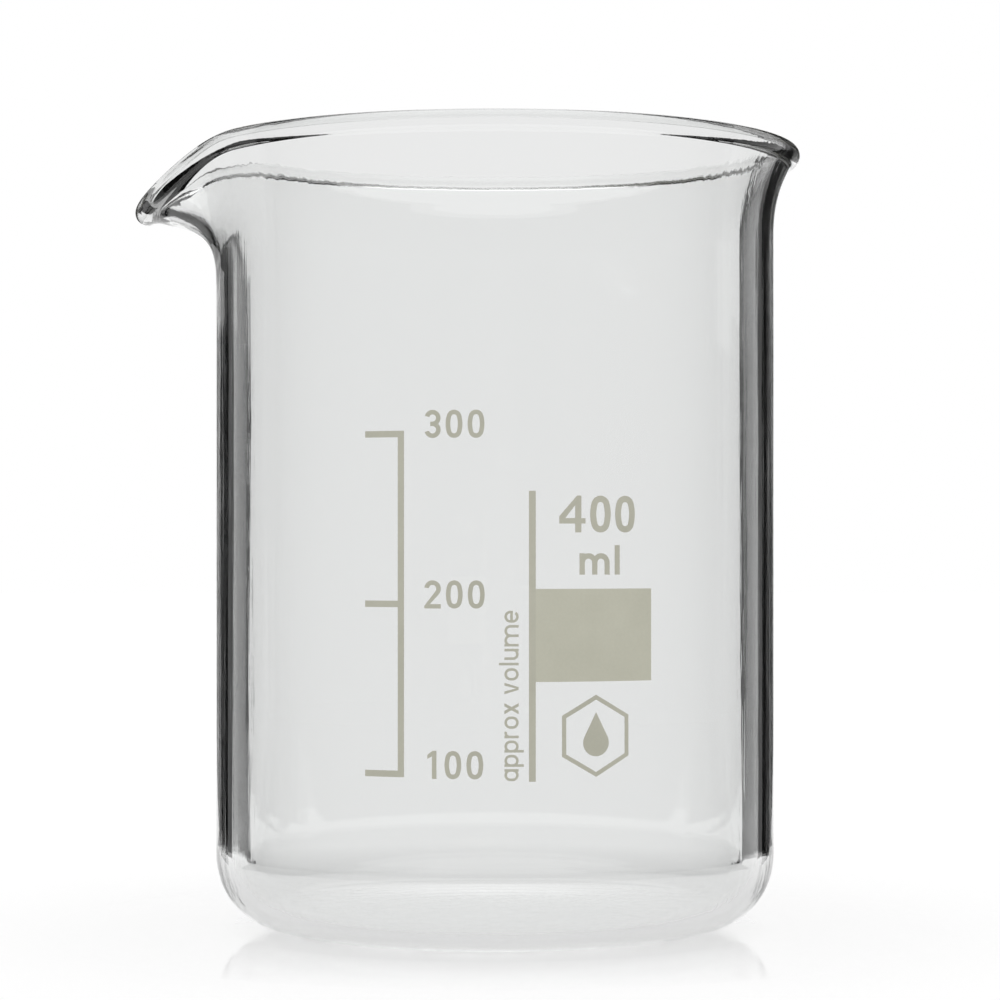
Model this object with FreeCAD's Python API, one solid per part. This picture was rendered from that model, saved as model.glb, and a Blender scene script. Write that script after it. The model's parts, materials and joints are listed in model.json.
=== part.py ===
"""Low-form laboratory beaker, 400 ml, in borosilicate glass with fired enamel marks.

The glass is one blown piece: base, wall, flared lip, beaded rim and pour spout.
Each enamel mark is a thin film whose inner face lies on the outside of the wall.
The axis is Z, the beaker stands on z = 0, the spout points to -X and the marks face -Y.
"""

import FreeCAD, Part
import math
import os
from FreeCAD import Vector

# ---- driving dimensions, millimetres and degrees ----
OUTSIDE_RADIUS = 40.0
HEIGHT = 111.5
WALL = 2.25
LIP_WALL = 1.8                  # the wall thins where the lip is drawn out

FLOOR_RADIUS = 28.8             # outer edge of the flat ring under the base
RING_WIDTH = 4.8                # the beaker stands on this ring
PUSH_UP = 0.5                   # rise of the underside in the middle
FLOOR_THICKNESS = 2.3
FLOOR_CROWN = 0.4               # rise of the inside floor in the middle
CORNER_WALL = 2.0               # how much smaller the inside corner's radius is

LIP_START = 86.0                # below this the wall is a true cylinder
BEAD_RADIUS = 1.35
BEAD_OFFSET = 0.2               # the bead stands out more on the outside of the lip
FLARE_START = 98.5              # height where the plain lip leaves the wall
FLARE_REACH = 3.475             # bead centre outside the middle of the wall
FLARE_ANGLE = 32.0              # lean of the lip where it meets the bead
FLARE_HANDLES = (3.5, 5.2)      # how far the curve keeps its first and last direction

SPOUT_START = 91.0
SPOUT_REACH = 11.375
SPOUT_DROP = 7.9                # bead centre at the spout below the plain bead centre
SPOUT_ANGLE = 78.0
SPOUT_HANDLES = (9.5, 8.6)
SPOUT_BEAD_RADIUS = 1.5
SPOUT_BEAD_OFFSET = 0.15
SPOUT_HALF_WIDTH = 40.0         # the spout fades out this far round the rim
SPOUT_POINT = 2.0               # a larger power pinches the spout to a finer point

POLES_ROUND = 144               # control points round the rim
WALL_POLES = 3                  # control points on the straight wall below the lip
LIP_POLES = 10                  # control points along one side of the lip
BEAD_POLES = 11                 # control points over the bead
OUTSIDE_END, INSIDE_END = 0.86, 0.93    # shares of the lip used before the bead takes over

FILM = 0.06                     # enamel thickness
HUNDRED_ML = 22.35              # height of 100 ml
FIRST_LINE = 24.6               # height of the 100 ml line
LINE_WIDTH = 0.85

# where the marks lie, as distances round the outside of the wall from the front, and heights
SCALE_LEFT = -13.0              # left edge of the scale's upright line
TICK_LENGTH = 4.7
NUMERAL_MIDDLE = -5.35
NUMERAL_HEIGHT = 3.69
NUMERAL_DROP = 0.57             # foot of a numeral below the middle of its line
BAR_LEFT = 4.45
BAR_WIDTH = 0.9
BAR_HEIGHTS = (23.7, 61.8)
PATCH_RIGHT = 21.75
PATCH_HEIGHTS = (36.75, 48.95)
CAPACITY_MIDDLE = 13.85
CAPACITY_FOOT = 56.35
UNIT_MIDDLE = 14.1
UNIT_FOOT = 50.8
LEGEND_ARC = 3.1                # foot of the legend's letters, which read upwards
LEGEND_START = 23.8
MARK_ARC = 13.55
MARK_HEIGHT = 29.6
MARK_SIZE = 5.4                 # middle of the hexagon to its corners
CUT_DEPTH = 3.0                 # a flat glyph is extruded this far to cut it out of a film
CUT_MARGIN = 0.5                # how much wider that film is than the glyph

# ---- derived dimensions ----
INSIDE_RADIUS = OUTSIDE_RADIUS - WALL
MIDDLE_RADIUS = OUTSIDE_RADIUS - WALL / 2
CORNER_RADIUS = OUTSIDE_RADIUS - FLOOR_RADIUS
INSIDE_CORNER = CORNER_RADIUS - CORNER_WALL
AXIS = Vector(0, 0, 1)
ORIGIN = Vector(0, 0, 0)


# ---------------------------------------------------------------- glass ----
def blend(plain, spout, share):
    """A dimension between its value on the plain rim and its value at the spout."""
    return plain + (spout - plain) * share


def spout_share(angle):
    """1 at the spout's centre line, fading to 0 on the plain rim. Degrees from -X."""
    turn = abs((angle + 180.0) % 360.0 - 180.0)
    if turn >= SPOUT_HALF_WIDTH:
        return 0.0
    return math.cos(math.radians(90.0 * turn / SPOUT_HALF_WIDTH)) ** (2 * SPOUT_POINT)


def bezier(points, t):
    """Place and unit direction at t on a cubic curve in the (radius, height) plane."""
    a, b, c, d = points
    s = 1.0 - t
    place = a * s**3 + b * (3 * s * s * t) + c * (3 * s * t * t) + d * t**3
    direction = (b - a) * (s * s) + (c - b) * (2 * s * t) + (d - c) * (t * t)
    return place, direction.normalize()


def lip_section(share):
    """Control points of the lip, from the outside of the wall over the bead to the inside."""
    lean = math.radians(blend(FLARE_ANGLE, SPOUT_ANGLE, share))
    towards = Vector(math.sin(lean), 0, math.cos(lean))
    across = Vector(towards.z, 0, -towards.x)
    start = Vector(MIDDLE_RADIUS, 0, blend(FLARE_START, SPOUT_START, share))
    bead = blend(BEAD_RADIUS, SPOUT_BEAD_RADIUS, share)
    offset = blend(BEAD_OFFSET, SPOUT_BEAD_OFFSET, share)
    bead_centre = Vector(
        MIDDLE_RADIUS + blend(FLARE_REACH, SPOUT_REACH, share),
        0,
        HEIGHT - BEAD_RADIUS - SPOUT_DROP * share,
    )
    end = bead_centre - across * offset
    first = blend(FLARE_HANDLES[0], SPOUT_HANDLES[0], share)
    last = blend(FLARE_HANDLES[1], SPOUT_HANDLES[1], share)
    curve = [start, start + AXIS * first, end - towards * last, end]

    sides = []
    for side, wall, lip_end in ((1, OUTSIDE_RADIUS, OUTSIDE_END), (-1, INSIDE_RADIUS, INSIDE_END)):
        rise = (start.z - LIP_START) / WALL_POLES
        poles = [Vector(wall, 0, LIP_START + rise * j) for j in range(WALL_POLES)]
        for j in range(LIP_POLES):
            t = lip_end * j / (LIP_POLES - 1)
            place, along = bezier(curve, t)
            half = side * blend(WALL, LIP_WALL, t) / 2
            poles.append(place + Vector(along.z, 0, -along.x) * half)
        sides.append(poles)
    outside, inside = sides

    first_turn = math.pi - math.asin((LIP_WALL / 2 - offset) / bead)
    last_turn = math.asin((LIP_WALL / 2 + offset) / bead) - math.pi
    step = (first_turn - last_turn) / (BEAD_POLES - 1)
    reach = bead * 6 / (4 + 2 * math.cos(step))     # a spline runs inside its control points
    over = []
    for j in range(BEAD_POLES):
        turn = first_turn - step * j
        over.append(bead_centre + towards * (reach * math.cos(turn))
                    + across * (reach * math.sin(turn)))
    return outside + over + inside[::-1]


def clamped_knots(count, degree=3):
    """Knots and multiplicities of an open spline with evenly spread control points."""
    inner = count - degree
    knots = [float(k) for k in range(inner + 1)]
    return knots, [degree + 1] + [1] * (inner - 1) + [degree + 1]


def lip_face():
    """The whole lip as one smooth surface that closes on itself round the rim."""
    step = 360.0 / POLES_ROUND
    widen = 6 / (4 + 2 * math.cos(math.radians(step)))
    rows = []
    for i in range(POLES_ROUND):
        azimuth = step * (i - 1)                    # the seam lies at +X
        turn = math.radians(azimuth)
        section = lip_section(spout_share(azimuth - 180.0))
        rows.append([
            Vector(p.x * widen * math.cos(turn), p.x * widen * math.sin(turn), p.z)
            for p in section
        ])
    knots, repeats = clamped_knots(len(rows[0]))
    surface = Part.BSplineSurface()
    surface.buildFromPolesMultsKnots(
        rows,
        [1] * (POLES_ROUND + 1), repeats,
        [float(k) for k in range(POLES_ROUND + 1)], knots,
        True, False, 3, 3,
    )
    return surface.toShape()


def line(a, b):
    return Part.LineSegment(Vector(a[0], 0, a[1]), Vector(b[0], 0, b[1])).toShape()


def arc(a, through, b):
    places = [Vector(p[0], 0, p[1]) for p in (a, through, b)]
    return Part.Arc(*places).toShape()


def corner(radius, centre):
    """Quarter round from straight below its centre to level with it."""
    diagonal = radius * math.sqrt(0.5)
    return arc(
        (centre[0], centre[1] - radius),
        (centre[0] + diagonal, centre[1] - diagonal),
        (centre[0] + radius, centre[1]),
    )


def turned_faces():
    """Base, bottom corner and straight wall, turned about the axis."""
    floor_edge = INSIDE_RADIUS - INSIDE_CORNER
    floor = FLOOR_THICKNESS
    ring_inside = FLOOR_RADIUS - RING_WIDTH
    underside = [
        arc((0, PUSH_UP), (ring_inside / 2, PUSH_UP * 0.75), (ring_inside, 0)),
        line((ring_inside, 0), (FLOOR_RADIUS, 0)),
        corner(CORNER_RADIUS, (FLOOR_RADIUS, CORNER_RADIUS)),
        line((OUTSIDE_RADIUS, CORNER_RADIUS), (OUTSIDE_RADIUS, LIP_START)),
    ]
    inside = [
        arc((0, floor + FLOOR_CROWN), (floor_edge / 2, floor + FLOOR_CROWN * 0.75),
            (floor_edge, floor)),
        corner(INSIDE_CORNER, (floor_edge, floor + INSIDE_CORNER)),
        line((INSIDE_RADIUS, floor + INSIDE_CORNER), (INSIDE_RADIUS, LIP_START)),
    ]
    return [edge.revolve(ORIGIN, AXIS, 360) for edge in underside + inside]


def glass_body():
    skin = Part.makeCompound(turned_faces() + [lip_face()])
    skin.sewShape(1e-3)
    solid = Part.makeSolid(skin.Shells[0])
    if solid.Volume < 0:
        solid.reverse()
    return solid


# --------------------------------------------------------------- enamel ----
def film_band(arc_from, arc_to, low, high):
    """A patch of enamel on the wall, between two distances round it and two heights."""
    start = math.degrees(arc_from / OUTSIDE_RADIUS)
    turn = math.degrees((arc_to - arc_from) / OUTSIDE_RADIUS)
    out = OUTSIDE_RADIUS + FILM
    corners = [(OUTSIDE_RADIUS, low), (out, low), (out, high), (OUTSIDE_RADIUS, high)]
    places = [Vector(r, 0, z) for r, z in corners]
    face = Part.Face(Part.makePolygon(places + places[:1]))
    face.rotate(ORIGIN, AXIS, start - 90.0)
    return face.revolve(ORIGIN, AXIS, turn)


def polar(centre, radius, degrees):
    turn = math.radians(degrees)
    return centre[0] + radius * math.cos(turn), centre[1] + radius * math.sin(turn)


def stroke_face(stroke, width):
    """Flat face of one stroke with square ends: a straight run, or part of a circle."""
    half = width / 2
    if stroke[0] == "run":
        (x0, y0), (x1, y1) = stroke[1:]
        length = math.hypot(x1 - x0, y1 - y0)
        nx, ny = -(y1 - y0) / length * half, (x1 - x0) / length * half
        corners = [(x0 + nx, y0 + ny), (x1 + nx, y1 + ny), (x1 - nx, y1 - ny), (x0 - nx, y0 - ny)]
        return outline_face(corners)
    centre, radius, begin, finish = stroke[1:]
    middle = (begin + finish) / 2
    outer = [polar(centre, radius + half, turn) for turn in (begin, middle, finish)]
    inner = [polar(centre, radius - half, turn) for turn in (finish, middle, begin)]
    edges = [arc(*outer), line(outer[2], inner[0]), arc(*inner), line(inner[2], outer[0])]
    return Part.Face(Part.Wire(edges))


def outline_face(corners):
    """Flat face with straight sides."""
    places = [Vector(x, 0, y) for x, y in corners]
    return Part.Face(Part.makePolygon(places + places[:1]))


def glyph_prism(strokes, width, depth):
    """A glyph as a prism. A stroke is a run, part of a circle, a filled outline or a hole."""
    solids, holes = [], []
    for stroke in strokes:
        drawn = stroke[0] in ("run", "turn")
        face = stroke_face(stroke, width) if drawn else outline_face(stroke[1])
        prism = face.extrude(Vector(0, depth, 0))
        (holes if stroke[0] == "hole" else solids).append(prism)
    glyph = solids[0].multiFuse(solids[1:]) if len(solids) > 1 else solids[0]
    return glyph.cut(holes) if holes else glyph


def film_glyph(strokes, width, arc_at, height_at, upward=False):
    """A glyph of pen strokes laid on the wall with its corner at the given place."""
    glyph = glyph_prism(strokes, width, CUT_DEPTH)
    if upward:
        glyph.rotate(ORIGIN, Vector(0, 1, 0), -90.0)
    box = glyph.BoundBox
    middle = (box.XMin + box.XMax) / 2
    glyph.translate(Vector(-middle, -OUTSIDE_RADIUS - CUT_DEPTH / 2, height_at))
    glyph.rotate(ORIGIN, AXIS, math.degrees((arc_at + middle) / OUTSIDE_RADIUS))
    side = box.XLength / 2 + CUT_MARGIN
    centre = arc_at + middle
    sheet = film_band(centre - side, centre + side,
                      height_at + box.ZMin - CUT_MARGIN, height_at + box.ZMax + CUT_MARGIN)
    return sheet.common(glyph)


def ring(width, height, pen):
    """A zero or an o: two half rounds joined by straight sides."""
    radius = (width - pen) / 2
    low, high = pen / 2 + radius, height - pen / 2 - radius
    middle = width / 2
    strokes = [("turn", (middle, high), radius, 0, 180), ("turn", (middle, low), radius, 180, 360)]
    if high > low:
        strokes += [("run", (middle - radius, low), (middle - radius, high)),
                    ("run", (middle + radius, low), (middle + radius, high))]
    return strokes


def oval(width, height, pen):
    """A zero: round ends joined by sides that bow out a little."""
    half = (width - pen) / 2
    end = half * 0.85                               # radius of the top and bottom rounds
    rise = height / 2 - pen / 2 - end
    set_back = (rise**2 - (half - end)**2) / (2 * (half - end))
    flank = half + set_back                         # radius of each side, tangent to the rounds
    lean = math.degrees(math.atan2(rise, set_back))
    middle, centre = width / 2, height / 2
    return [("turn", (middle, centre + rise), end, lean, 180 - lean),
            ("turn", (middle, centre - rise), end, 180 + lean, 360 - lean),
            ("turn", (middle - set_back, centre), flank, -lean, lean),
            ("turn", (middle + set_back, centre), flank, 180 - lean, 180 + lean)]


def digit_one(width, height, pen):
    right = width * 0.62 + pen / 2
    left = right - pen
    flag = height * 0.73
    tip = width * 0.12
    return [("outline", [(left, 0), (right, 0), (right, height), (left + pen * 0.15, height),
                         (tip, flag + pen * 0.75), (tip, flag - pen * 0.15),
                         (left, flag + pen * 0.45)])]


def digit_two(width, height, pen):
    radius = (width - pen) / 2
    centre = (width / 2, height - pen / 2 - radius)
    leave = -38
    inner, outer = polar(centre, radius - pen / 2, leave), polar(centre, radius + pen / 2, leave)
    foot_top = pen * 0.95
    return [("turn", centre, radius, leave, 172),
            ("outline", [inner, outer, (pen * 1.25, foot_top), (width, foot_top), (width, 0),
                         (0, 0), (0, pen * 0.55)])]


def digit_three(width, height, pen):
    low_radius = (width - pen) / 2
    high_radius = (height - pen - 2 * low_radius) / 2
    upper = (width / 2, height - pen / 2 - high_radius)
    lower = (width / 2, pen / 2 + low_radius)
    waist = (width * 0.36, pen / 2 + 2 * low_radius)
    return [("turn", upper, high_radius, -90, 165), ("turn", lower, low_radius, -165, 90),
            ("run", waist, (width / 2, waist[1]))]


def digit_four(width, height, pen):
    right = width * 0.84
    left = right - pen
    low = height * 0.24
    high = low + pen * 0.86
    return [("outline", [(left, 0), (right, 0), (right, height), (left + pen * 0.3, height),
                         (0, high + pen * 0.3), (0, low), (left, low)]),
            ("outline", [(right, low), (width, low), (width, high), (right, high)]),
            ("hole", [(left, height - pen * 1.5), (pen * 0.95, high), (left, high)])]


def letter_m(width, height, pen):
    radius = (width - pen) / 4
    spring = height - pen / 2 - radius
    stems = [pen / 2, width / 2, width - pen / 2]
    strokes = [("run", (x, 0), (x, spring)) for x in stems]
    strokes += [("run", (stems[0], spring), (stems[0], height))]
    return strokes + [("turn", (x + radius, spring), radius, 0, 180) for x in stems[:2]]


def letter_u(width, height, pen):
    radius = (width - pen) / 2
    spring = pen / 2 + radius
    return [("run", (pen / 2, spring), (pen / 2, height)),
            ("turn", (width / 2, spring), radius, 180, 360),
            ("run", (width - pen / 2, 0), (width - pen / 2, height))]


def letter_a(width, height, pen):
    return ring(width, height, pen) + [("run", (width - pen / 2, 0), (width - pen / 2, height))]


def letter_p(width, height, pen):
    return ring(width, height, pen) + [("run", (pen / 2, -height * 0.36), (pen / 2, height))]


def letter_r(width, height, pen):
    radius = width * 0.55
    centre = (pen / 2 + radius, height - pen / 2 - radius)
    return [("run", (pen / 2, 0), (pen / 2, height)), ("turn", centre, radius, 70, 180)]


def letter_e(width, height, pen):
    radius = (width - pen) / 2
    low, high = pen / 2 + radius, height - pen / 2 - radius
    middle, bar = width / 2, height / 2
    strokes = [("turn", (middle, high), radius, 0, 180), ("turn", (middle, low), radius, 180, 325),
               ("run", (middle - radius, bar), (middle + radius + pen / 2, bar))]
    if high > low:
        strokes += [("run", (middle + side * radius, place), (middle + side * radius, high))
                    for side, place in ((-1, low), (1, bar - pen / 2))]
    return strokes


def letter_l(width, height, pen):
    return [("run", (width / 2, 0), (width / 2, height * 1.38))]


def letter_v(width, height, pen):
    middle, slant = width / 2, pen * 1.08
    return [("outline", [(0, height), (slant, height), (middle, slant), (width - slant, height),
                         (width, height), (middle + slant / 2, 0), (middle - slant / 2, 0)])]


def letter_x(width, height, pen):
    slant = pen * 1.25
    return [("outline", [(left, 0), (left + slant, 0), (right, height), (right - slant, height)])
            for left, right in ((0, width), (width - slant, slant))]


# each letter's drawing and its width as a share of the letter height
GLYPHS = {
    "0": (oval, 0.60), "1": (digit_one, 0.50), "2": (digit_two, 0.60),
    "3": (digit_three, 0.585), "4": (digit_four, 0.735),
    "a": (letter_a, 0.84), "e": (letter_e, 0.84), "l": (letter_l, 0.26), "m": (letter_m, 1.5),
    "o": (ring, 0.86), "p": (letter_p, 0.84), "r": (letter_r, 0.5), "u": (letter_u, 0.78),
    "v": (letter_v, 0.8), "x": (letter_x, 0.78), " ": (None, 0.3),
}


def text_width(text, height, gap):
    return sum(GLYPHS[c][1] * height for c in text) + gap * (len(text) - 1)


def film_text(text, height, pen, gap, arc_middle=0.0, low=0.0, baseline=None):
    """A line of text: level and centred on arc_middle, or reading upwards from low."""
    upward = baseline is not None
    cursor = low if upward else arc_middle - text_width(text, height, gap) / 2
    pieces = []
    for letter in text:
        draw, share = GLYPHS[letter]
        width = share * height
        if draw and upward:
            pieces.append(film_glyph(draw(width, height, pen), pen, baseline, cursor, True))
        elif draw:
            pieces.append(film_glyph(draw(width, height, pen), pen, cursor, low))
        cursor += width + gap
    return Part.makeCompound([solid for piece in pieces for solid in piece.Solids])


def one_film(pieces):
    """Films that touch become one film."""
    return pieces[0].multiFuse(pieces[1:]).removeSplitter()


def graduation_scale():
    half = LINE_WIDTH / 2
    heights = [FIRST_LINE + HUNDRED_ML * n for n in range(3)]
    upright = film_band(SCALE_LEFT, SCALE_LEFT + LINE_WIDTH, heights[0] - half, heights[2] + half)
    ticks = [film_band(SCALE_LEFT - TICK_LENGTH, SCALE_LEFT, z - half, z + half) for z in heights]
    return one_film([upright] + ticks)


def scale_numeral(text, hundreds):
    foot = FIRST_LINE + HUNDRED_ML * (hundreds - 1) - NUMERAL_DROP
    return film_text(text, NUMERAL_HEIGHT, pen=0.6, gap=0.68, arc_middle=NUMERAL_MIDDLE, low=foot)


def generic_mark():
    """A hexagon outline round a solid drop: a plain picture of a liquid, with no letters."""
    pen = 0.55
    inner = MARK_SIZE - pen / math.cos(math.radians(30))
    rim, hole = [[polar((0, 0), size, 60 * k + 30) for k in range(6)]
                 for size in (MARK_SIZE, inner)]
    outline = film_glyph([("outline", rim), ("hole", hole)], pen, MARK_ARC, MARK_HEIGHT)

    belly, tip, radius = (0, -0.9), (0, 3.1), 1.8
    touch = math.degrees(math.asin(radius / (tip[1] - belly[1])))
    right, left = polar(belly, radius, touch), polar(belly, radius, 180 - touch)
    shape = [line(right, tip), line(tip, left), arc(left, polar(belly, radius, -90), right)]
    drop = Part.Face(Part.Wire(shape)).extrude(Vector(0, CUT_DEPTH, 0))
    drop.translate(Vector(0, -OUTSIDE_RADIUS - CUT_DEPTH / 2, MARK_HEIGHT))
    drop.rotate(ORIGIN, AXIS, math.degrees(MARK_ARC / OUTSIDE_RADIUS))
    sheet = film_band(MARK_ARC - MARK_SIZE, MARK_ARC + MARK_SIZE,
                      MARK_HEIGHT - MARK_SIZE, MARK_HEIGHT + MARK_SIZE)
    return Part.makeCompound(outline.Solids + sheet.common(drop).Solids)


def main():
    bar_right = BAR_LEFT + BAR_WIDTH
    nodes = {
        "glass_body": glass_body(),
        "graduation_scale": graduation_scale(),
        "numeral_300": scale_numeral("300", 3),
        "numeral_200": scale_numeral("200", 2),
        "numeral_100": scale_numeral("100", 1),
        "capacity_numeral_400": film_text("400", height=4.85, pen=0.84, gap=0.66,
                                          arc_middle=CAPACITY_MIDDLE, low=CAPACITY_FOOT),
        "unit_ml": film_text("ml", height=2.82, pen=0.72, gap=0.74,
                             arc_middle=UNIT_MIDDLE, low=UNIT_FOOT),
        "marking_bar": film_band(BAR_LEFT, bar_right, *BAR_HEIGHTS),
        "marking_patch": film_band(bar_right, PATCH_RIGHT, *PATCH_HEIGHTS),
        "approx_volume_legend": film_text("approx volume", height=1.87, pen=0.34, gap=0.3,
                                          low=LEGEND_START, baseline=LEGEND_ARC),
        "generic_mark": generic_mark(),
    }
    os.makedirs("parts", exist_ok=True)
    for name, shape in nodes.items():
        shape.exportStep("parts/" + name + ".step")
        print(name, len(shape.Solids), "solids, valid", shape.isValid(),
              "volume %.3f mm3" % shape.Volume)


main()
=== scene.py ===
# %% [markdown]
# # A low-form laboratory beaker in clear glass
#
# The object is a 400 ml beaker: one piece of blown borosilicate glass with a few enamel marks
# fired on the outside. Glass has no colour of its own, so almost everything that is seen is the
# room behind it, bent by the wall. That makes two things matter most: a surface that is smooth
# enough to bend light cleanly, and a studio that gives the glass something dark to show.
#
# The CAD model is the fixed frame. Its mesh of the glass is made for measuring, with flat facets
# that would show in the refraction, so the glass is rebuilt here from the same section. The
# enamel films are right as they are and only get their finish.

# %% Load the CAD model and keep its box
import json
import math

import bpy
import numpy as np
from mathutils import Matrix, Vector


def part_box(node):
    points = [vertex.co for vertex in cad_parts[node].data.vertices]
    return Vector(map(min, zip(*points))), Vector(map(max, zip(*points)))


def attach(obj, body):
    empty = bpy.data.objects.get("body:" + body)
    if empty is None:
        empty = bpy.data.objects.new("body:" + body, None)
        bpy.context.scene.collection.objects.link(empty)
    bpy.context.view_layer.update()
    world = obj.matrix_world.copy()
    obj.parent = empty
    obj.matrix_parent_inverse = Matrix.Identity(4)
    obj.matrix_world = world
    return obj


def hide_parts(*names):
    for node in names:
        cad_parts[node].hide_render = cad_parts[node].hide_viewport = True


MM = 0.001                      # Blender's unit is the metre
scene = bpy.context.scene
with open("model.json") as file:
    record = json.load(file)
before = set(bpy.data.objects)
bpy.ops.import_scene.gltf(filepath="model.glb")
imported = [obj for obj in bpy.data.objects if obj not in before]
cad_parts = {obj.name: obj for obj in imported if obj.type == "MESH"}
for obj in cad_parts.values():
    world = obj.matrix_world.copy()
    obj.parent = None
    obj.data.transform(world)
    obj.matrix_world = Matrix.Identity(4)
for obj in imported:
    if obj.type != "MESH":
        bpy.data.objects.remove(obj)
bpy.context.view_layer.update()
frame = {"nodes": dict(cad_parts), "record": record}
glass_low, glass_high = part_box("glass_body")
mounts = {mount["name"]: mount for mount in frame["record"]["mounts"]}

# %% [markdown]
# ## The camera
#
# The beaker is seen straight from the front, level, from a little under half its height. A long
# lens from under half a metre keeps its sides nearly parallel. Tilting the camera would make them
# lean, so it stays level, and the lens shift moves the view up instead, as on a view camera.

# %% Camera
CAMERA_DISTANCE = 0.4385        # from the beaker's axis
CAMERA_HEIGHT = 0.0547
FOCAL_LENGTH = 109.65           # mm
SENSOR_WIDTH = 36.0             # mm
LENS_SHIFT = (0.005, 0.045)     # shares of the view's width, sideways and up
CLIP_NEAR, CLIP_FAR = 0.01, 20.0

camera = bpy.data.objects.new("camera", bpy.data.cameras.new("camera"))
scene.collection.objects.link(camera)
camera.location = (0.0, -CAMERA_DISTANCE, CAMERA_HEIGHT)
camera.rotation_euler = (math.radians(90), 0, 0)
camera.data.lens = FOCAL_LENGTH
camera.data.sensor_width = SENSOR_WIDTH
camera.data.shift_x, camera.data.shift_y = LENS_SHIFT
camera.data.clip_start, camera.data.clip_end = CLIP_NEAR, CLIP_FAR
scene.camera = camera
print("camera", CAMERA_DISTANCE, "m from the axis,", CAMERA_HEIGHT, "m up")

# %% [markdown]
# ## Shader nodes written as sums
#
# A finish is easier to read as arithmetic than as wiring. `Wire` holds one output socket, and
# Python's operators on it add the Math nodes. `Finish` is one material. Its `node` method makes
# any other node: first the settings, then the values and links of its sockets.

# %% Helpers for finishes
class Wire:
    """An output socket that Python's operators work on."""

    def __init__(self, finish, socket):
        self.finish, self.socket = finish, socket

    def maths(self, operation, *values):
        return self.finish.node("ShaderNodeMath", {"operation": operation}, dict(enumerate(values)))

    def __add__(self, other):
        return self.maths("ADD", self, other)

    def __radd__(self, other):
        return self.maths("ADD", other, self)

    def __mul__(self, other):
        return self.maths("MULTIPLY", self, other)

    def __rmul__(self, other):
        return self.maths("MULTIPLY", other, self)


class Finish:
    """A material with one Principled shader."""

    def __init__(self, name, **constants):
        self.material = bpy.data.materials.new(name)
        self.material.use_nodes = True
        self.tree = self.material.node_tree
        self.shader = self.tree.nodes["Principled BSDF"]
        for socket, value in constants.items():
            self.shader.inputs[socket.replace("_", " ")].default_value = value

    def node(self, kind, settings=None, values=None, out=0):
        made = self.tree.nodes.new(kind)
        for name, setting in (settings or {}).items():
            if name == "stops":
                self.set_stops(made.color_ramp, setting)
            else:
                setattr(made, name, setting)
        for name, value in (values or {}).items():
            self.feed(made.inputs[name], value)
        return Wire(self, made.outputs[out])

    @staticmethod
    def set_stops(ramp, stops):
        while len(ramp.elements) < len(stops):
            ramp.elements.new(1.0)
        for element, (place, shade) in zip(ramp.elements, stops):
            element.position = place
            element.color = (shade, shade, shade, 1)

    def feed(self, socket, value):
        if isinstance(value, Wire):
            self.tree.links.new(value.socket, socket)
        else:
            socket.default_value = value

    def shine(self, socket, value):
        """Feeds one of the Principled shader's own sockets."""
        self.feed(self.shader.inputs[socket], value)

    def place(self, stretch=(1, 1, 1)):
        """Where a point is on the object, in metres, stretched along the axes."""
        coordinates = self.node("ShaderNodeTexCoord", out="Object")
        return self.node("ShaderNodeVectorMath", {"operation": "MULTIPLY"},
                         {0: coordinates, 1: stretch})

    def from_axis(self):
        """How far a point is from the origin, in tenths of a metre, which suits a ramp."""
        metres = self.node("ShaderNodeVectorMath", {"operation": "LENGTH"}, {0: self.place()},
                           out=1)
        return metres * 10

    def noise(self, size, detail=2.0, stretch=(1, 1, 1)):
        """Soft noise from 0 to 1 whose features are about `size` metres across."""
        return self.node("ShaderNodeTexNoise", {}, {
            "Vector": self.place(stretch), "Scale": 1 / size, "Detail": detail})

    def ramp(self, value, *stops):
        """Shades of grey along `value`. Each stop is a place from 0 to 1 and its shade."""
        return self.node("ShaderNodeValToRGB", {"stops": stops}, {"Fac": value})

    def mix(self, share, first, second):
        return self.node("ShaderNodeMix", {"data_type": "RGBA"},
                         {"Factor": share, 6: first, 7: second}, out=2)

    def relief(self, height, depth, strength):
        """Tilts the surface as if `height` rose by `depth` metres."""
        bump = self.node("ShaderNodeBump", {}, {"Height": height, "Distance": depth,
                                                "Strength": strength}, out="Normal")
        self.shine("Normal", bump)


print("helpers ready")

# %% [markdown]
# ## The glass
#
# The real beaker starts as a blown cylinder. Its lip is softened in a flame and flared, the edge
# melts back into a thick bead, and the spout is pulled out of the rim with a hook. So the whole
# shape is one section turned round the axis, and the lip's part of that section changes near the
# spout. The spout could be cut and joined on with booleans, but they leave pinched faces, and
# refraction shows every pinch. A lattice of sections gives clean quads everywhere.

# %% Driving dimensions of the glass
OUTSIDE_RADIUS = mounts["body_grip"]["dims"]["r_mm"] * MM
HEIGHT = glass_high.z
WALL = 2.25 * MM
LIP_WALL = 1.8 * MM                     # the wall thins where the lip is drawn out
INSIDE_RADIUS = OUTSIDE_RADIUS - WALL
MIDDLE_RADIUS = OUTSIDE_RADIUS - WALL / 2

# each pair is the value on the plain rim, then the value at the middle of the spout
BEAD_RADIUS = (1.35 * MM, 1.5 * MM)
BEAD_OFFSET = (0.2 * MM, 0.15 * MM)     # the bead stands out more on the outside of the lip
BEAD_REACH = (glass_high.x - BEAD_RADIUS[0] - MIDDLE_RADIUS,
              -glass_low.x - BEAD_RADIUS[1] - MIDDLE_RADIUS)
BEAD_DROP = (0.0, 7.9 * MM)
LIP_START = (98.5 * MM, 91.0 * MM)      # height where the lip leaves the straight wall
LIP_LEAN = (32.0, 78.0)                 # degrees from upright where the lip meets the bead
LIP_FIRST = (3.5 * MM, 9.5 * MM)        # how far the lip's curve keeps its first direction
LIP_LAST = (5.2 * MM, 8.6 * MM)         # and its last one
SPOUT_HALF_WIDTH = 40.0                 # degrees round the rim
SPOUT_POWER = 4                         # a larger power pinches the spout to a finer point
STEPS_ROUND = 480
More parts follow.
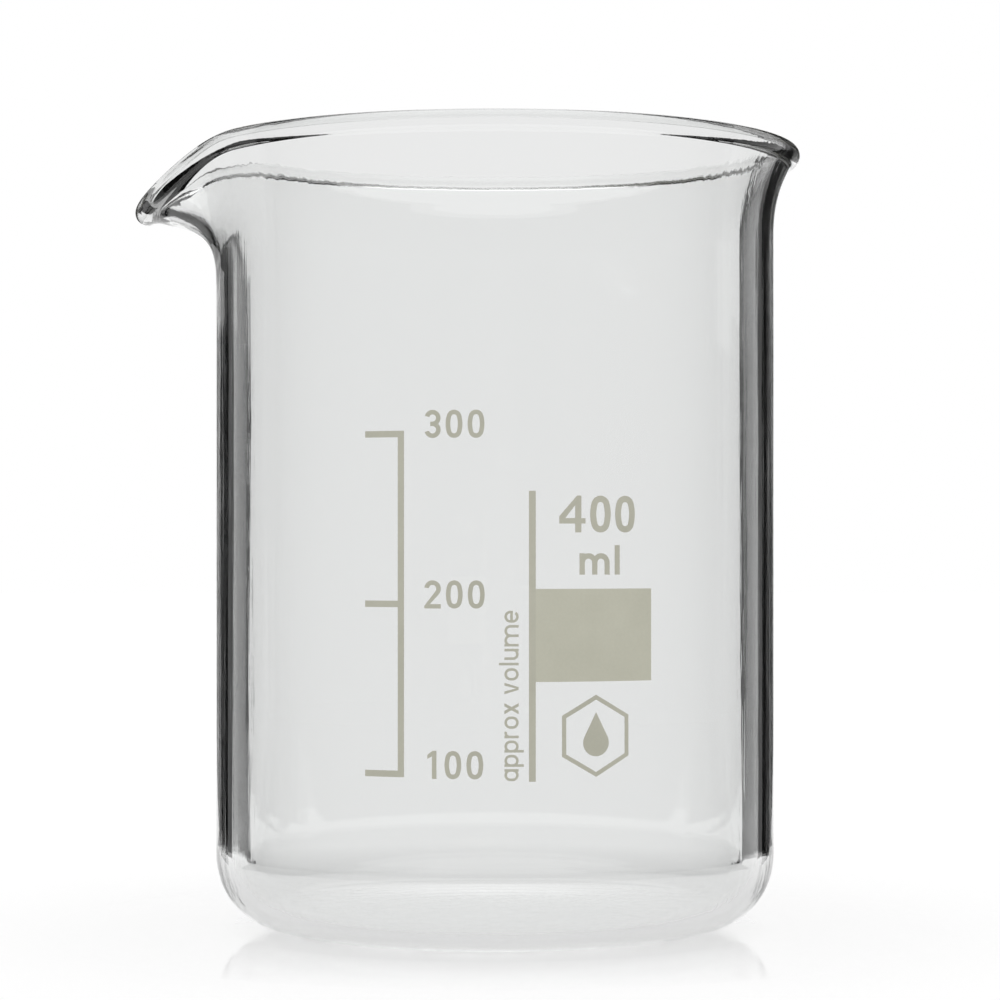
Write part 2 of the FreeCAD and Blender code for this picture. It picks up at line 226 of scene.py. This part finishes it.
print("bead centre outside the wall's middle: rim %.2f mm, spout %.2f mm"
      % (BEAD_REACH[0] / MM, BEAD_REACH[1] / MM))

# %% [markdown]
# ### The lip, the bead and the spout
#
# Seen in section, the lip is a short curve that leans outwards and ends in a round bead. The same
# few control points make the section at every angle: towards the spout the curve starts lower,
# leans further and reaches out more. A polyline would glitter at its corners, so a cubic spline
# smooths the points, and its bend never jumps.

# %% The section through the lip
OUTSIDE_END, INSIDE_END = 0.86, 0.93    # shares of the lip used before the bead takes over
WALL_POINTS, LIP_POINTS, BEAD_POINTS = 3, 10, 11    # control points of each part


def blend(first, last, share):
    return first + (last - first) * share


def spout_share(degrees):
    """1 on the spout's centre line, at -X, fading to 0 on the plain rim."""
    turn = abs(degrees % 360.0 - 180.0)
    if turn >= SPOUT_HALF_WIDTH:
        return 0.0
    return math.cos(math.radians(90.0 * turn / SPOUT_HALF_WIDTH)) ** SPOUT_POWER


def lip_curve(share):
    """The bead's centre, the four points of the lip's middle line, and its lean at the bead."""
    lean = math.radians(blend(*LIP_LEAN, share))
    towards = np.array([math.sin(lean), math.cos(lean)])
    across = np.array([towards[1], -towards[0]])
    start = np.array([MIDDLE_RADIUS, blend(*LIP_START, share)])
    bead_centre = np.array([MIDDLE_RADIUS + blend(*BEAD_REACH, share),
                            HEIGHT - BEAD_RADIUS[0] - blend(*BEAD_DROP, share)])
    end = bead_centre - across * blend(*BEAD_OFFSET, share)
    upright = np.array([0, blend(*LIP_FIRST, share)])
    points = [start, start + upright, end - towards * blend(*LIP_LAST, share), end]
    return bead_centre, points, towards, across


def lip_controls(share, bottom):
    """Control points over the lip, from `bottom` outside to `bottom` inside."""
    bead_centre, (a, b, c, d), towards, across_end = lip_curve(share)
    outside = [np.array([OUTSIDE_RADIUS, blend(bottom, a[1], j / WALL_POINTS)])
               for j in range(WALL_POINTS)]
    inside = [np.array([INSIDE_RADIUS, p[1]]) for p in outside]
    for side, line, last in ((1, outside, OUTSIDE_END), (-1, inside, INSIDE_END)):
        for t in np.linspace(0, last, LIP_POINTS):
            s = 1 - t
            place = a * s**3 + b * 3 * s * s * t + c * 3 * s * t * t + d * t**3
            along = (b - a) * s * s + (c - b) * 2 * s * t + (d - c) * t * t
            across = np.array([along[1], -along[0]]) / np.linalg.norm(along)
            line.append(place + across * side * blend(WALL, LIP_WALL, t) / 2)

    bead = blend(*BEAD_RADIUS, share)
    offset = blend(*BEAD_OFFSET, share)
    first = math.pi - math.asin((LIP_WALL / 2 - offset) / bead)
    last = math.pi - math.asin((LIP_WALL / 2 + offset) / bead)
    turns = np.linspace(first, -last, BEAD_POINTS)
    reach = bead * 6 / (4 + 2 * math.cos(turns[0] - turns[1]))  # a spline runs inside its points
    over = [bead_centre + towards * reach * math.cos(turn) + across_end * reach * math.sin(turn)
            for turn in turns]
    return outside + over + inside[::-1]


def smooth(points, steps):
    """Points along the uniform cubic spline of these control points."""
    p = np.array(points)
    t = np.arange(steps)[:, None] / steps
    weights = [(1 - t) ** 3, 3 * t**3 - 6 * t**2 + 4, -3 * t**3 + 3 * t**2 + 3 * t + 1, t**3]
    spans = [sum(w * p[i + k] for k, w in enumerate(weights)) / 6 for i in range(len(p) - 3)]
    return np.concatenate(spans)


STEPS_ALONG = 5                         # points along each span of the section
LIP_BOTTOM = 80 * MM                    # below this the section is the same all round
plain_lip = smooth(lip_controls(0.0, LIP_BOTTOM), STEPS_ALONG)
print("lip section:", len(plain_lip), "points, top at %.2f mm" % (plain_lip[:, 1].max() / MM))

# %% [markdown]
# ### The base and the wall
#
# The beaker stands on a narrow flat ring, and the middle of its base is pushed up a little so that
# it can't rock. A large round corner joins the base to the wall. A plain arc starts its bend all at
# once, which refraction shows as a hard line, so this corner eases into the straight parts, as
# softened glass does.

# %% The section through the base and wall
CORNER_STEPS, CROWN_POINTS, WALL_RINGS = 56, 16, 12
EASE = 0.35                             # 0 is a plain arc, 1 starts and ends its bend most gently


def corner(radius, centre):
    """Quarter round from below its centre to level with it, easing into the straight parts."""
    along = (np.arange(CORNER_STEPS) + 0.5) / CORNER_STEPS
    heading = math.pi / 2 * blend(along, along**2 * (3 - 2 * along), EASE)
    moves = np.column_stack([np.cos(heading), np.sin(heading)])
    places = np.vstack([[0, 0], np.cumsum(moves, axis=0)])
    return list(np.array([centre[0], centre[1] - radius]) + places * radius / places[-1])


def crown(reach, edge_height, rise):
    """A low dome from the axis out to `reach`."""
    return [np.array([r, edge_height + rise * (1 - (r / reach) ** 2)])
            for r in np.linspace(0, reach, CROWN_POINTS)]


FLOOR_RADIUS = 28.8 * MM                # outer edge of the flat ring under the base
RING_WIDTH = 4.8 * MM
PUSH_UP = 0.5 * MM                      # rise of the underside in the middle
FLOOR = 2.3 * MM                        # height of the floor's inside edge
FLOOR_CROWN = 0.4 * MM                  # rise of the floor in the middle
CORNER_WALL = 2.0 * MM                  # how much smaller the inside corner's radius is
corner_radius = OUTSIDE_RADIUS - FLOOR_RADIUS
inside_corner = corner_radius - CORNER_WALL

below = crown(FLOOR_RADIUS - RING_WIDTH, 0.0, PUSH_UP)
below += corner(corner_radius, (FLOOR_RADIUS, corner_radius))
above = crown(INSIDE_RADIUS - inside_corner, FLOOR, FLOOR_CROWN)
above += corner(inside_corner, (INSIDE_RADIUS - inside_corner, FLOOR + inside_corner))
wall_heights = np.linspace(corner_radius, LIP_BOTTOM, WALL_RINGS)[1:]
below += [np.array([OUTSIDE_RADIUS, z]) for z in wall_heights]
above += [np.array([INSIDE_RADIUS, z]) for z in wall_heights]
print("base sections:", len(below), "points outside,", len(above), "inside")

# %% [markdown]
# ### One closed skin
#
# Each section runs from the middle of the underside, up the outside, over the bead and down the
# inside to the middle of the floor. Side by side round the axis, the sections make a closed skin
# with glass between its outside and its inside. A single sheet would be quicker, but it can't show
# how thick the wall is, and the thickness makes the dark bands at the sides.

# %% Turn the sections into one closed skin
def glass_mesh():
    """The sections side by side, with a fan of triangles round the axis above and below."""
    sections = []
    for i in range(STEPS_ROUND):
        degrees = 360.0 * i / STEPS_ROUND
        lip = smooth(lip_controls(spout_share(degrees), LIP_BOTTOM), STEPS_ALONG)
        profile = np.array(below[1:] + list(lip[1:]) + above[:0:-1])
        turn = math.radians(degrees)
        sections.append(np.column_stack([profile[:, 0] * math.cos(turn),
                                         profile[:, 0] * math.sin(turn), profile[:, 1]]))
    count = len(sections[0])
    verts = np.concatenate(sections)
    bottom, top = len(verts), len(verts) + 1
    verts = np.vstack([verts, [0, 0, below[0][1]], [0, 0, above[0][1]]])
    faces = []
    for i in range(STEPS_ROUND):
        here, there = i * count, (i + 1) % STEPS_ROUND * count
        faces += [(here + j, there + j, there + j + 1, here + j + 1) for j in range(count - 1)]
        faces += [(bottom, there, here), (top, here + count - 1, there + count - 1)]
    mesh = bpy.data.meshes.new("beaker_glass")
    mesh.from_pydata(verts.tolist(), [], faces)
    mesh.polygons.foreach_set("use_smooth", [True] * len(faces))
    mesh.update()
    return mesh


glass = bpy.data.objects.new("beaker_glass", glass_mesh())
scene.collection.objects.link(glass)
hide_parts("glass_body")
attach(glass, "root")
print("glass:", len(glass.data.vertices), "vertices,", len(glass.data.polygons), "faces")

# %% [markdown]
# ## The finish of the glass
#
# Fire-polished borosilicate glass is perfectly smooth to the touch, with an index of refraction
# of 1.473. What gives it away as drawn glass is a faint waviness that runs up the wall. Modelling
# that would need a far finer lattice, so stretched noise tilts the surface instead.

# %% Glass finish
GLASS_TINT = (0.994, 1.0, 0.997, 1)     # a trace of green
DRAW_LINE_WIDTH, DRAW_LINE_DEPTH = 3 * MM, 0.04 * MM
UP_THE_WALL = (1, 1, 0.04)              # makes the noise 25 times as tall as it is wide

clear = Finish("borosilicate", Transmission_Weight=1.0, IOR=1.473, Roughness=0.0)
clear.shine("Base Color", GLASS_TINT)
draw_lines = clear.noise(DRAW_LINE_WIDTH, detail=4.0, stretch=UP_THE_WALL)
clear.relief(draw_lines, DRAW_LINE_DEPTH, strength=0.6)
glass.data.materials.append(clear.material)
print("glass finish:", len(clear.tree.nodes), "nodes")

# %% [markdown]
# ## The enamel
#
# The marks are a ceramic paste that was screen printed and fired on. Up close it is a satin,
# slightly grainy film of uneven thickness, so its colour drifts a little. One flat colour would
# look like a sticker, so two noises, one broad and one fine, mix a pale and a deep shade. The
# field that takes pencil is paler and rougher than the lines and numbers.

# %% Enamel finishes
DRIFT_SIZE, GRAIN_SIZE, GRAIN_DEPTH = 6 * MM, 0.35 * MM, 0.01 * MM
DRIFT_SHARE = 0.7                       # of the mottle, and the rest is grain
ALL_PALE, ALL_DEEP = 0.35, 0.65         # mottle at which the colour is one shade only


def enamel(name, pale, deep, smoothest, roughest):
    finish = Finish(name, Specular_IOR_Level=0.35)
    drift = finish.noise(DRIFT_SIZE, detail=3.0)
    grain = finish.noise(GRAIN_SIZE)
    mottle = finish.ramp(drift * DRIFT_SHARE + grain * (1 - DRIFT_SHARE),
                         (ALL_PALE, 0), (ALL_DEEP, 1))
    finish.shine("Base Color", finish.mix(mottle, pale, deep))
    finish.shine("Roughness", grain * (roughest - smoothest) + smoothest)
    finish.relief(grain, GRAIN_DEPTH, strength=0.6)
    return finish


print_enamel = enamel("enamel_print", pale=(0.458, 0.452, 0.375, 1),
                      deep=(0.416, 0.411, 0.338, 1), smoothest=0.4, roughest=0.6)
field_enamel = enamel("enamel_field", pale=(0.490, 0.485, 0.400, 1),
                      deep=(0.458, 0.453, 0.371, 1), smoothest=0.55, roughest=0.75)
for entry in frame["record"]["subparts"]:
    node = frame["nodes"][entry["node"]]
    if node.name != "glass_body":
        finish = field_enamel if entry["material_slot"] == "enamel_field" else print_enamel
        node.data.materials.clear()
        node.data.materials.append(finish.material)
print("enamel on", len(frame["nodes"]) - 1, "films")

# %% [markdown]
# ## The white room and the light table
#
# Clear glass is shown against light, in a room that is an even white. The beaker stands on a sheet
# of white acrylic lit from below, so that it casts no shadow. The polished top of the sheet
# gives a short reflection of the base. Acrylic that glows needs its shine in a coat, because a
# coat takes away from the glow under it just as a real surface does. Further out the sheet is
# matt, so it doesn't mirror the rest of the studio.

# %% White room and light table
world = bpy.data.worlds.new("white_room")
scene.world = world
world.use_nodes = True
world.node_tree.nodes["Background"].inputs["Color"].default_value = (1, 1, 1, 1)
world.node_tree.nodes["Background"].inputs["Strength"].default_value = 1.0


def studio_object(name, verts, faces):
    """Something that belongs to the studio and not to the beaker."""
    mesh = bpy.data.meshes.new(name)
    mesh.from_pydata(verts, [], faces)
    thing = bpy.data.objects.new(name, mesh)
    scene.collection.objects.link(thing)
    return thing


TABLE_SIZE = 3.0                        # from the middle to each side
TABLE_GAP = 0.05 * MM                   # below the beaker


def square_sheet(name, height):
    corners = [(-1, -1), (1, -1), (1, 1), (-1, 1)]
    return studio_object(name, [(x * TABLE_SIZE, y * TABLE_SIZE, height) for x, y in corners],
                         [(0, 1, 2, 3)])


POLISHED_TO, MATT_FROM = 0.38, 0.66     # tenths of a metre from the beaker's axis
table = square_sheet("light_table", -TABLE_GAP)
acrylic = Finish("white_acrylic", Base_Color=(0.38, 0.38, 0.38, 1), Specular_IOR_Level=0.0,
                 Emission_Color=(1, 1, 1, 1), Emission_Strength=0.64,
                 Coat_Roughness=0.05, Coat_IOR=2.3)
acrylic.shine("Coat Weight", acrylic.ramp(acrylic.from_axis(), (POLISHED_TO, 1), (MATT_FROM, 0)))
table.data.materials.append(acrylic.material)
print("light table", 2 * TABLE_SIZE, "m across")

# %% [markdown]
# ## Cards round the glass
#
# Against white, clear glass has no edge. A studio gives it one with black cards just outside the
# view: the curved sides of the glass bend the line of sight outwards, find the cards and turn
# black, while the middle looks straight through at the backdrop. The cards could stand in the room,
# but then a view from another side would lose its dark edges, so they hang on the camera. They are
# seen only in the glass, as if they had been retouched away everywhere else.

# %% Card makers
CARD_LOW = -0.3                         # measured from the camera's height, below the table
LYING_HEIGHT = 0.5 * MM                 # above the table
FRAME_SLOPE = SENSOR_WIDTH / 2 / FOCAL_LENGTH
FRAME_MARGIN = 3 * MM                   # from the edge of the view to a card
BEND_STEP = 6                           # degrees


def only_in_glass(card, finish, reflected=False):
    """Gives a card its finish and hides it, except as the glass shows it."""
    card.data.materials.append(finish.material)
    card.visible_camera = card.visible_diffuse = card.visible_shadow = False
    card.visible_glossy = reflected
    return card


def upright_card(name, plan, finish, top, low=CARD_LOW, reflected=True):
    """Stands on plan points (sideways, behind the beaker's axis). Heights are from the camera."""
    verts = [(x, height, -(CAMERA_DISTANCE + y)) for x, y in plan for height in (low, top)]
    faces = [(2 * i, 2 * i + 2, 2 * i + 3, 2 * i + 1) for i in range(len(plan) - 1)]
    only_in_glass(studio_object(name, verts, faces), finish, reflected).parent = camera


def lying_card(name, plan, finish, reflected=True):
    """Lies just above the table on the same kind of plan points."""
    verts = [(x, LYING_HEIGHT - CAMERA_HEIGHT, -(CAMERA_DISTANCE + y)) for x, y in plan]
    card = studio_object(name, verts, [tuple(range(len(plan)))])
    only_in_glass(card, finish, reflected).parent = camera


def frame_edge(behind, margin=FRAME_MARGIN):
    """How far sideways the view ends, this far behind the beaker's axis."""
    return (CAMERA_DISTANCE + behind) * FRAME_SLOPE + margin


def bend(radius, start, end):
    """Plan points round the beaker, in degrees from straight behind it."""
    return [(radius * math.sin(math.radians(turn)), radius * math.cos(math.radians(turn)))
            for turn in range(start, end + 1, BEND_STEP)]


def on_side(side, plan):
    """The same plan on the left (-1) or the right (1)."""
    return [(side * x, y) for x, y in plan]


print("the view ends %.1f mm beside the beaker's axis" % (frame_edge(0, 0) / MM))

# %% [markdown]
# ### What the cards are made of
#
# Three matt surfaces are enough. Velvet stays black whatever light falls on it, the walls are
# painted a mid grey, and the pale card gives back a little less than half of the room's light. A
# glossy card would show lights and edges of its own in the glass.

# %% Finishes of the cards
def matt(name, shade):
    return Finish(name, Base_Color=(shade, shade, shade, 1), Roughness=1.0,
                  Specular_IOR_Level=0.0)


black = matt("black_cloth", 0.004)
grey = matt("grey_wall", 0.33)
pale = matt("pale_card", 0.42)
print("cards:", black.material.name, grey.material.name, pale.material.name)

# %% [markdown]
# ## What each edge of the glass looks at
#
# The outer band of the wall guides light by total reflection and looks about 5 to 38 degrees
# outwards. It finds the long side flags and the small near cards. The near cards also give the
# bead of the rim and the underside of the spout their black lines. Two pale cards on the spout's
# side light the top of the outer band there. Black cloth lies on the table from each flag towards
# the glass, because the lower part of the band looks down at the table.

# %% Black and pale cards beside the glass
SIDE_WALL_FROM, SIDE_WALL_TO = 36, 78   # degrees from straight behind the beaker
FLAG_FROM, FLAG_TO, FLAG_TOP = 0.0405, 0.476, 0.30      # behind the axis, and the height
FOOT_FROM, FOOT_NEAR = (0.045, 0.040), 0.13     # where the black and the grey on the table start
NEAR_BEHIND, NEAR_TOP = 0.060, 0.20
NEAR_SPAN, SPOUT_SPAN = (0.051, 0.096), (0.0535, 0.064)     # sideways from the axis
NEAR_LOW = {-1: 0.045, 1: CARD_LOW}     # the left one clears the pale cards
SPOUT_LOW = 0.033
PALE_MARGIN = 1 * MM                    # nearer than the side flag
PALE_CARDS = ((0.09, 0.16, 0.040, 0.070), (0.16, FLAG_TO, 0.050, 0.085))    # start, end, low, top

foot_plan = [FOOT_FROM, (frame_edge(FLAG_TO), FLAG_TO),
             (FLAG_TO * math.tan(math.radians(SIDE_WALL_FROM)), FLAG_TO),
             bend(FOOT_NEAR, SIDE_WALL_FROM, SIDE_WALL_FROM)[0]]
for side in (-1, 1):
    flag_plan = [(frame_edge(y), y) for y in (FLAG_FROM, FLAG_TO)]
    upright_card("side_flag", on_side(side, flag_plan), black, FLAG_TOP)
    lying_card("side_flag_foot", on_side(side, foot_plan), black, reflected=False)
    near_plan = [(x, NEAR_BEHIND) for x in NEAR_SPAN]
    upright_card("near_card", on_side(side, near_plan), black, NEAR_TOP, NEAR_LOW[side],
                 reflected=False)
upright_card("spout_card", on_side(-1, [(x, NEAR_BEHIND) for x in SPOUT_SPAN]), black,
             NEAR_LOW[-1], SPOUT_LOW, reflected=False)
for start, end, low, top in PALE_CARDS:
    pale_plan = [(frame_edge(y, PALE_MARGIN), y) for y in (start, end)]
    upright_card("pale_card", on_side(-1, pale_plan), pale, top, low)
print("side flags from", FLAG_FROM, "to", FLAG_TO, "m behind the axis")

# %% [markdown]
# ### The rest of the room
#
# Inside its outer band the glass looks further round, at the walls on each side. Left white they
# would break the edge into stripes, so they are grey. The side behind the camera is dark and
# reaches high up, because the beaker's walls reflect it. A bright room there would lay a veil over
# the whole inside, and its edge would show as a pale patch under the rim.

# %% Grey side walls and the dark side of the room
WALL_RADIUS, DARK_RADIUS, DARK_NEAR = 0.60, 0.55, 0.085
WALL_TOP, ROOM_TOP = 0.25, 0.60
grey_plan = bend(WALL_RADIUS, SIDE_WALL_FROM, SIDE_WALL_TO)
grey_foot = grey_plan + bend(FOOT_NEAR, SIDE_WALL_FROM, SIDE_WALL_TO)[::-1]
for side in (-1, 1):
    upright_card("grey_wall", on_side(side, grey_plan), grey, WALL_TOP)
    lying_card("grey_wall_foot", on_side(side, grey_foot), grey)
dark_plan = bend(DARK_RADIUS, SIDE_WALL_TO, 360 - SIDE_WALL_TO)
dark_foot = dark_plan + bend(DARK_NEAR, SIDE_WALL_TO, 360 - SIDE_WALL_TO)[::-1]
upright_card("dark_side_of_room", dark_plan, black, ROOM_TOP)
lying_card("dark_side_of_table", dark_foot, black)
print("grey walls and the dark side of the room:", len(grey_plan), "and", len(dark_plan), "points")

# %% [markdown]
# ## The backdrop
#
# Behind the beaker hangs a backdrop that is a little darker than the room, and a sheet on the table
# carries it on to the glass. Seen through the glass, it makes the body of the beaker stand out
# softly from the white round it. Lamps could light it, but a surface that glows by itself is even
# and free of noise. Under the beaker the sheet's glow is turned down as a painted shadow, where
# less light would reach it.

# %% Backdrop and its foot with a painted shadow
BACKDROP_GLOW = 0.886
BACKDROP_BEHIND, BACKDROP_SPAN, BACKDROP_TOP = 0.9, (-3.0, 3.0), 3.0
SHADED_TO, OPEN_FROM = 0.40, 1.0        # where the painted shadow is full and where it ends, in tenths of a metre from the beaker's axis
PAINTED_SHADOW_GLOW = 0.78                      # share of the glow left under the beaker, in the painted shadow


def glowing(name):
    return Finish(name, Base_Color=(0, 0, 0, 1), Specular_IOR_Level=0.0,
                  Emission_Color=(1, 1, 1, 1), Emission_Strength=BACKDROP_GLOW)


upright_card("backdrop", [(x, BACKDROP_BEHIND) for x in BACKDROP_SPAN], glowing("backdrop"),
             BACKDROP_TOP, reflected=False)
foot_with_painted_shadow = glowing("backdrop_foot")
# painted shadow: the foot's glow is turned down near the beaker's axis
foot_with_painted_shadow.shine("Emission Color", foot_with_painted_shadow.ramp(foot_with_painted_shadow.from_axis(), (SHADED_TO, PAINTED_SHADOW_GLOW),
                                         (OPEN_FROM, 1)))
only_in_glass(square_sheet("backdrop_foot", -TABLE_GAP / 2), foot_with_painted_shadow)
print("backdrop", BACKDROP_BEHIND, "m behind the axis")

# %% [markdown]
# ## Light from above
#
# The enamel faces the camera and is lit by the white room. A large soft light overhead makes the
# top of everything a little brighter. A small lamp would leave a hard spark on the rim instead.

# %% Softbox
SOFTBOX_WIDTH, SOFTBOX_POWER, SOFTBOX_HEIGHT = 1.0, 1.0, 1.4    # metres, watts, metres

softbox = bpy.data.lights.new("overhead_softbox", "AREA")
softbox.size = SOFTBOX_WIDTH
softbox.energy = SOFTBOX_POWER
overhead = bpy.data.objects.new("overhead_softbox", softbox)
overhead.location = (0, 0, SOFTBOX_HEIGHT)
scene.collection.objects.link(overhead)
print("softbox", overhead.location.z, "m up")

# %% [markdown]
# ## Bounces
#
# Light that gets into the wall can be reflected up or down inside it dozens of times before it
# leaves at the rim. With few bounces those paths end early and the rim gets false black lines.
# The tones stay as they are lit, because a film curve would turn the white room grey.

# %% Light bounces and tone
REFLECTIONS, PASSES = 160, 64           # inside the wall, and through its two sides

scene.cycles.max_bounces = REFLECTIONS
scene.cycles.glossy_bounces = REFLECTIONS
scene.cycles.transmission_bounces = PASSES
scene.view_settings.view_transform = "Standard"
print("bounces", scene.cycles.max_bounces)
